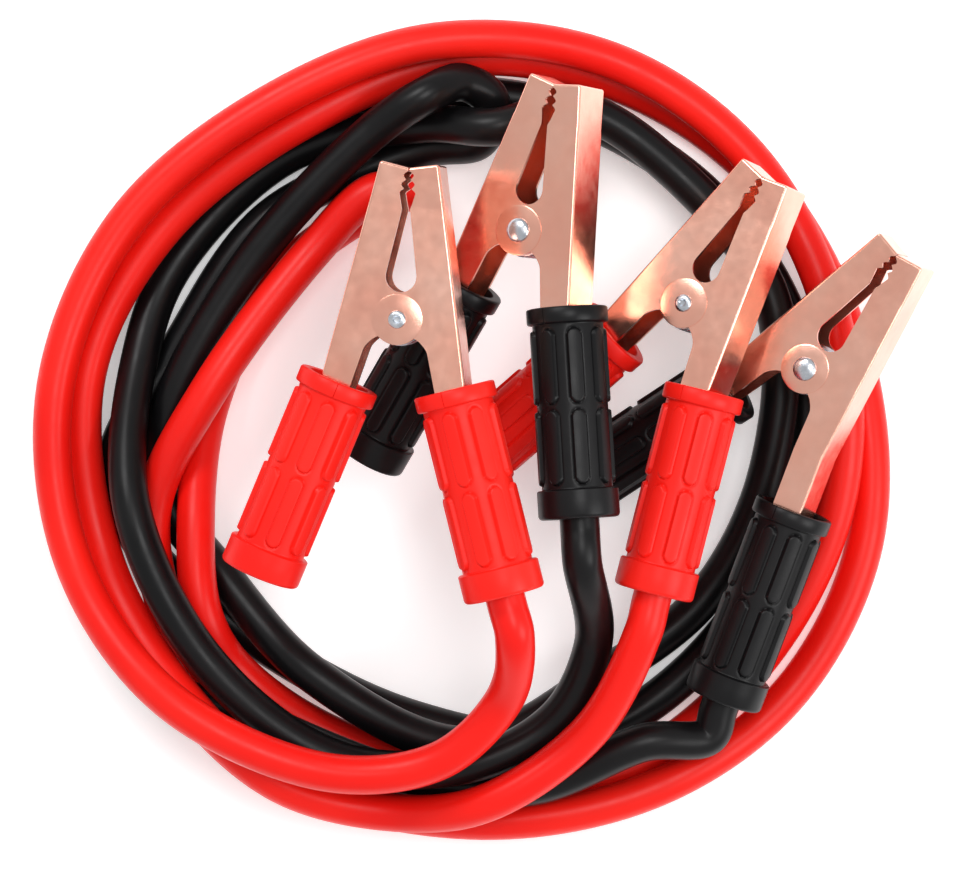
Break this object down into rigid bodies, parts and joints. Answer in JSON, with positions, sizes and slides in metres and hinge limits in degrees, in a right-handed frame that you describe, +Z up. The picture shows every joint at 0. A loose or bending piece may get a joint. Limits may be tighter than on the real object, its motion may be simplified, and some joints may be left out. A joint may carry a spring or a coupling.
{
  "type": "car jumper cable",
  "caption": "Red and black jumper leads, each folded and wound into one loose coil, with sprung copper-plated jaw clamps and ribbed grips lying across it.",
  "frame": {"origin": "centre of the clamps in plan, on the floor that the coil and the lowest clamp's grip rest on", "axes": "+X to the right across the fan of clamps, +Y towards the jaw tips of the leftmost clamps, +Z up from the floor"},
  "size_m": [0.3113, 0.2841, 0.0994],
  "materials": {
    "red_cable": "smooth satin PVC sheath",
    "black_cable": "smooth satin PVC sheath",
    "red_grip": "moulded satin PVC",
    "black_grip": "moulded satin PVC",
    "copper_plate": "thin bright copper plating on pressed steel",
    "steel": "bright zinc plate"
  },
  "bodies": {
    "root": {"red_cable": "red_cable", "black_cable": "black_cable", "clamp_1_cable_jaw": "copper_plate", "clamp_1_cable_grip": "red_grip", "clamp_1_rivet": "steel", "clamp_1_spring": "steel", "clamp_2_cable_jaw": "copper_plate", "clamp_2_cable_grip": "black_grip", "clamp_2_rivet": "steel", "clamp_2_spring": "steel", "clamp_3_cable_jaw": "copper_plate", "clamp_3_cable_grip": "red_grip", "clamp_3_rivet": "steel", "clamp_3_spring": "steel", "clamp_4_cable_jaw": "copper_plate", "clamp_4_cable_grip": "black_grip", "clamp_4_rivet": "steel", "clamp_4_spring": "steel"},
    "clamp_1_lever": {"clamp_1_lever_jaw": "copper_plate", "clamp_1_lever_grip": "red_grip"},
    "clamp_2_lever": {"clamp_2_lever_jaw": "copper_plate", "clamp_2_lever_grip": "black_grip"},
    "clamp_3_lever": {"clamp_3_lever_jaw": "copper_plate", "clamp_3_lever_grip": "red_grip"},
    "clamp_4_lever": {"clamp_4_lever_jaw": "copper_plate", "clamp_4_lever_grip": "black_grip"}
  },
  "joints": [
    {"name": "clamp_1_hinge", "type": "hinge", "parent": "root", "child": "clamp_1_lever", "pos_m": [-0.0611, 0.0259, 0.0846], "axis": [-0.1255, -0.0424, 0.9912], "range_deg": [0, 24], "stiffness_Nm_per_rad": 2, "springref_deg": -40.11, "deforming": ["clamp_1_spring"]},
    {"name": "clamp_2_hinge", "type": "hinge", "parent": "root", "child": "clamp_2_lever", "pos_m": [-0.0177, 0.0559, 0.0681], "axis": [-0.4331, 0.0043, 0.9013], "range_deg": [0, 24], "stiffness_Nm_per_rad": 2, "springref_deg": -40.11, "deforming": ["clamp_2_spring"]},
    {"name": "clamp_3_hinge", "type": "hinge", "parent": "root", "child": "clamp_3_lever", "pos_m": [0.0379, 0.0309, 0.0571], "axis": [-0.4006, 0.0928, 0.9115], "range_deg": [0, 24], "stiffness_Nm_per_rad": 2, "springref_deg": -40.11, "deforming": ["clamp_3_spring"]},
    {"name": "clamp_4_hinge", "type": "hinge", "parent": "root", "child": "clamp_4_lever", "pos_m": [0.0795, 0.0097, 0.0427], "axis": [-0.3402, 0.0122, 0.9403], "range_deg": [0, 24], "stiffness_Nm_per_rad": 2, "springref_deg": -40.11, "deforming": ["clamp_4_spring"]}
  ]
}
